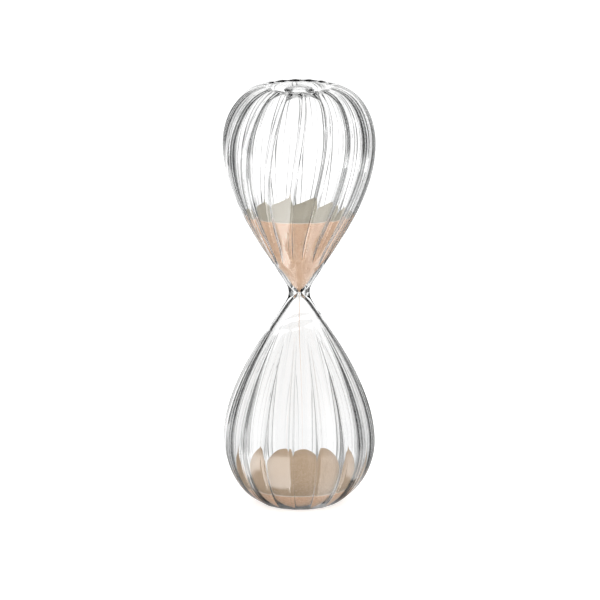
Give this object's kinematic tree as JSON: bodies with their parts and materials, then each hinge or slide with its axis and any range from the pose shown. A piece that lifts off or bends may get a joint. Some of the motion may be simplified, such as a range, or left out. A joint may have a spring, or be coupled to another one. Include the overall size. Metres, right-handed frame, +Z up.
{
  "type": "hourglass",
  "caption": "Frameless hourglass of clear glass: two pear-shaped ribbed bulbs joined by a narrow waist, part-filled with pale tan sand, standing on a ring foot.",
  "frame": {"origin": "middle of the plane that the foot ring stands on", "axes": "+Z up along the hourglass's axis, -Y towards the front"},
  "size_m": [0.0806, 0.0806, 0.225],
  "materials": {
    "ribbed_glass": "clear mould-blown glass, faint grey-green",
    "plain_glass": "clear blown glass, smooth",
    "neck_glass": "clear thick flame-worked glass",
    "seal_glass": "clear flame-polished glass",
    "sand": "fine dry sand, pale tan"
  },
  "bodies": {
    "root": {"upper_bulb": "ribbed_glass", "lower_bulb": "ribbed_glass", "upper_cone": "plain_glass", "lower_cone": "plain_glass", "neck_collar": "neck_glass", "upper_end_seal": "seal_glass", "lower_end_seal": "seal_glass", "upper_sand": "sand", "lower_sand": "sand", "sand_stream": "sand"}
  },
  "joints": []
}
